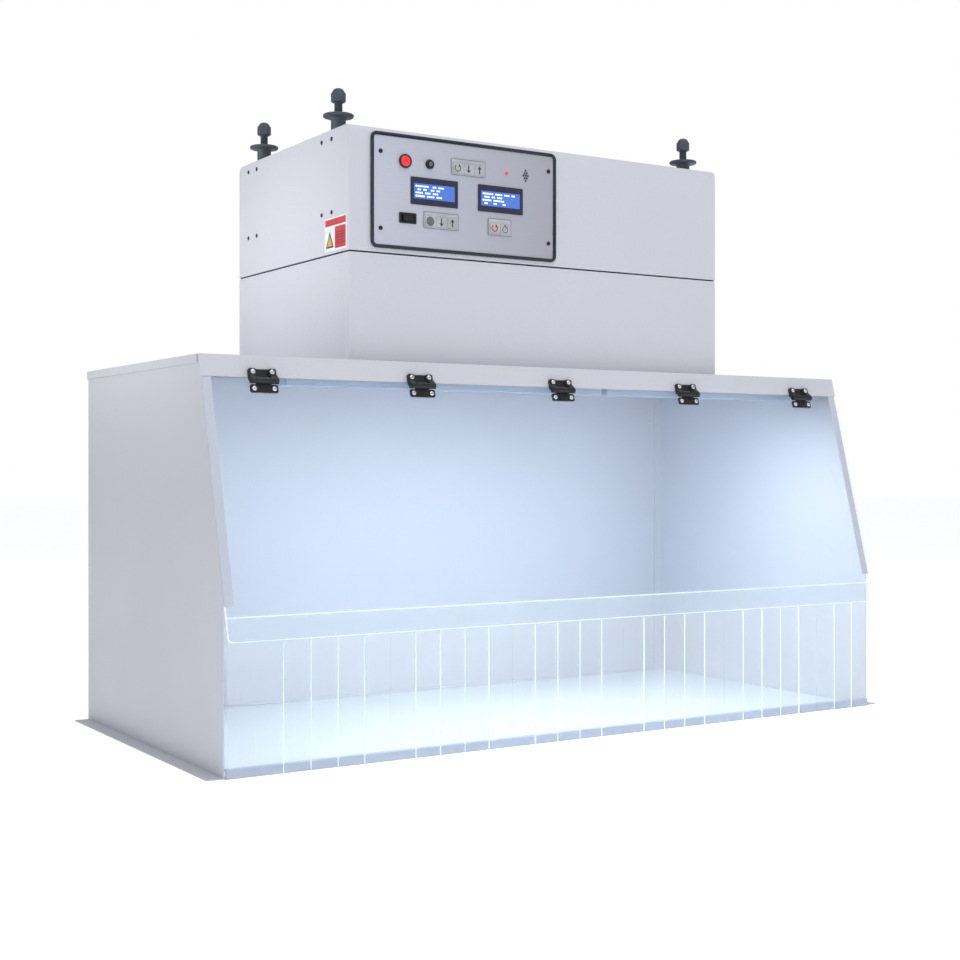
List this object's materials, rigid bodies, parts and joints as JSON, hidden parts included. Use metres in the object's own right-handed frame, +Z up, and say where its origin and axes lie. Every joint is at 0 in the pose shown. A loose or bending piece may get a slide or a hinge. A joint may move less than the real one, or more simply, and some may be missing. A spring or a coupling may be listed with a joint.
{
  "type": "solder fume extractor hood",
  "caption": "Bench-top ductless fume hood: sheet-steel enclosure, hinged clear door with strip curtain, filter chamber and blower housing with control panel on the roof.",
  "frame": {"origin": "middle of the footprint, on the surface the hood stands on", "axes": "+X to the right seen from the front, +Y towards the back, +Z up"},
  "size_m": [1.3164, 0.628, 1.048],
  "materials": {
    "powder_coat": "fine-textured powder coat, satin",
    "tray_enamel": "smooth white powder coat",
    "lamp_body": "satin white lamp housing",
    "aluminium": "mill finish",
    "filter_media": "pleated white filter fibre",
    "carbon_bed": "black granular carbon mat",
    "black_rubber": "matte moulded rubber",
    "zinc_plate": "zinc-plated sheet",
    "motor_paint": "satin dark grey enamel",
    "black_plastic": "satin moulded nylon",
    "knob_plastic": "satin moulded plastic",
    "clear_acrylic": "clear, polished, bright cut edges",
    "clear_vinyl": "clear flexible vinyl",
    "brushed_plate": "fine brushed, horizontal",
    "lcd_bezel": "black display surround",
    "key_film": "printed membrane film",
    "red_lens": "translucent red lens"
  },
  "bodies": {
    "hood": {"left_side_panel": "powder_coat", "right_side_panel": "powder_coat", "back_panel": "powder_coat", "top_cover": "powder_coat", "filter_chamber": "powder_coat", "blower_housing": "powder_coat", "exhaust_grille": "powder_coat", "work_tray": "tray_enamel", "light_bar_left": "lamp_body", "light_bar_right": "lamp_body", "inlet_grille": "aluminium", "prefilter": "filter_media", "hepa_filter": "filter_media", "carbon_filter": "carbon_bed", "chamber_gasket": "black_rubber", "panel_trim": "black_rubber", "blower_deck": "zinc_plate", "blower_motor": "motor_paint", "power_inlet": "black_plastic", "power_ring": "black_plastic", "rocker_frame": "black_plastic", "hinge_upper_1": "black_plastic", "hinge_upper_2": "black_plastic", "hinge_upper_3": "black_plastic", "hinge_upper_4": "black_plastic", "hinge_upper_5": "black_plastic", "control_faceplate": "brushed_plate", "lcd_left": "lcd_bezel", "lcd_right": "lcd_bezel", "keypad_upper": "key_film", "keypad_lower": "key_film", "keypad_timer": "key_film", "alarm_led": "red_lens", "clamp_stud_left_front": "knob_plastic", "clamp_stud_right_front": "knob_plastic", "clamp_stud_left_rear": "knob_plastic", "clamp_stud_right_rear": "knob_plastic"},
    "door": {"front_door": "clear_acrylic", "hinge_lower_1": "black_plastic", "hinge_lower_2": "black_plastic", "hinge_lower_3": "black_plastic", "hinge_lower_4": "black_plastic", "hinge_lower_5": "black_plastic"},
    "curtain": {"strip_curtain": "clear_vinyl"},
    "impeller": {"impeller": "aluminium"},
    "power_button": {"power_button": "red_lens"},
    "rocker": {"rocker_switch": "black_plastic"},
    "fuse_cap": {"fuse_cap": "black_plastic"},
    "hand_nut_left_front": {"hand_nut_left_front": "knob_plastic"},
    "hand_nut_right_front": {"hand_nut_right_front": "knob_plastic"},
    "hand_nut_left_rear": {"hand_nut_left_rear": "knob_plastic"},
    "hand_nut_right_rear": {"hand_nut_right_rear": "knob_plastic"},
    "key_upper_reset": {"key_upper_reset": "key_film"},
    "key_upper_down": {"key_upper_down": "key_film"},
    "key_upper_up": {"key_upper_up": "key_film"},
    "key_lower_mesh": {"key_lower_mesh": "key_film"},
    "key_lower_down": {"key_lower_down": "key_film"},
    "key_lower_up": {"key_lower_up": "key_film"},
    "key_timer_reset": {"key_timer_reset": "key_film"},
    "key_timer_start": {"key_timer_start": "key_film"}
  },
  "joints": [
    {"name": "door_hinge", "type": "hinge", "parent": "hood", "child": "door", "pos_m": [0, -0.22061, 0.56702], "axis": [-1, 0, 0], "range_deg": [0, 165]},
    {"name": "curtain_hang", "type": "hinge", "parent": "door", "child": "curtain", "pos_m": [0, -0.29844, 0.226], "axis": [-1, 0, 0], "range_deg": [-165, 0]},
    {"name": "impeller_spin", "type": "hinge", "parent": "hood", "child": "impeller", "pos_m": [0, 0.04501, 0.84], "axis": [0, 0, 1], "continuous": true},
    {"name": "power_press", "type": "slide", "parent": "hood", "child": "power_button", "axis": [0, 1, 0], "range_m": [0, 0.003], "stiffness_N_per_m": 400},
    {"name": "rocker_tilt", "type": "hinge", "parent": "hood", "child": "rocker", "pos_m": [-0.2698, -0.17308, 0.8366], "axis": [0, 0, 1], "range_deg": [-18, 0]},
    {"name": "fuse_turn", "type": "hinge", "parent": "hood", "child": "fuse_cap", "pos_m": [-0.2292, -0.17599, 0.9267], "axis": [0, 1, 0], "range_deg": [0, 60]},
    {"name": "nut_left_front", "type": "hinge", "parent": "hood", "child": "hand_nut_left_front", "pos_m": [-0.3562, -0.09999, 1], "axis": [0, 0, 1], "continuous": true},
    {"name": "nut_right_front", "type": "hinge", "parent": "hood", "child": "hand_nut_right_front", "pos_m": [0.3562, -0.09999, 1], "axis": [0, 0, 1], "continuous": true},
    {"name": "nut_left_rear", "type": "hinge", "parent": "hood", "child": "hand_nut_left_rear", "pos_m": [-0.3562, 0.19001, 1], "axis": [0, 0, 1], "continuous": true},
    {"name": "nut_right_rear", "type": "hinge", "parent": "hood", "child": "hand_nut_right_rear", "pos_m": [0.3562, 0.19001, 1], "axis": [0, 0, 1], "continuous": true},
    {"name": "press_upper_reset", "type": "slide", "parent": "hood", "child": "key_upper_reset", "axis": [0, 1, 0], "range_m": [0, 0.0004], "stiffness_N_per_m": 300},
    {"name": "press_upper_down", "type": "slide", "parent": "hood", "child": "key_upper_down", "axis": [0, 1, 0], "range_m": [0, 0.0004], "stiffness_N_per_m": 300},
    {"name": "press_upper_up", "type": "slide", "parent": "hood", "child": "key_upper_up", "axis": [0, 1, 0], "range_m": [0, 0.0004], "stiffness_N_per_m": 300},
    {"name": "press_lower_mesh", "type": "slide", "parent": "hood", "child": "key_lower_mesh", "axis": [0, 1, 0], "range_m": [0, 0.0004], "stiffness_N_per_m": 300},
    {"name": "press_lower_down", "type": "slide", "parent": "hood", "child": "key_lower_down", "axis": [0, 1, 0], "range_m": [0, 0.0004], "stiffness_N_per_m": 300},
    {"name": "press_lower_up", "type": "slide", "parent": "hood", "child": "key_lower_up", "axis": [0, 1, 0], "range_m": [0, 0.0004], "stiffness_N_per_m": 300},
    {"name": "press_timer_reset", "type": "slide", "parent": "hood", "child": "key_timer_reset", "axis": [0, 1, 0], "range_m": [0, 0.0004], "stiffness_N_per_m": 300},
    {"name": "press_timer_start", "type": "slide", "parent": "hood", "child": "key_timer_start", "axis": [0, 1, 0], "range_m": [0, 0.0004], "stiffness_N_per_m": 300}
  ],
  "couplings": [
    {"joint": "curtain_hang", "follows": "door_hinge", "ratio": -1}
  ]
}
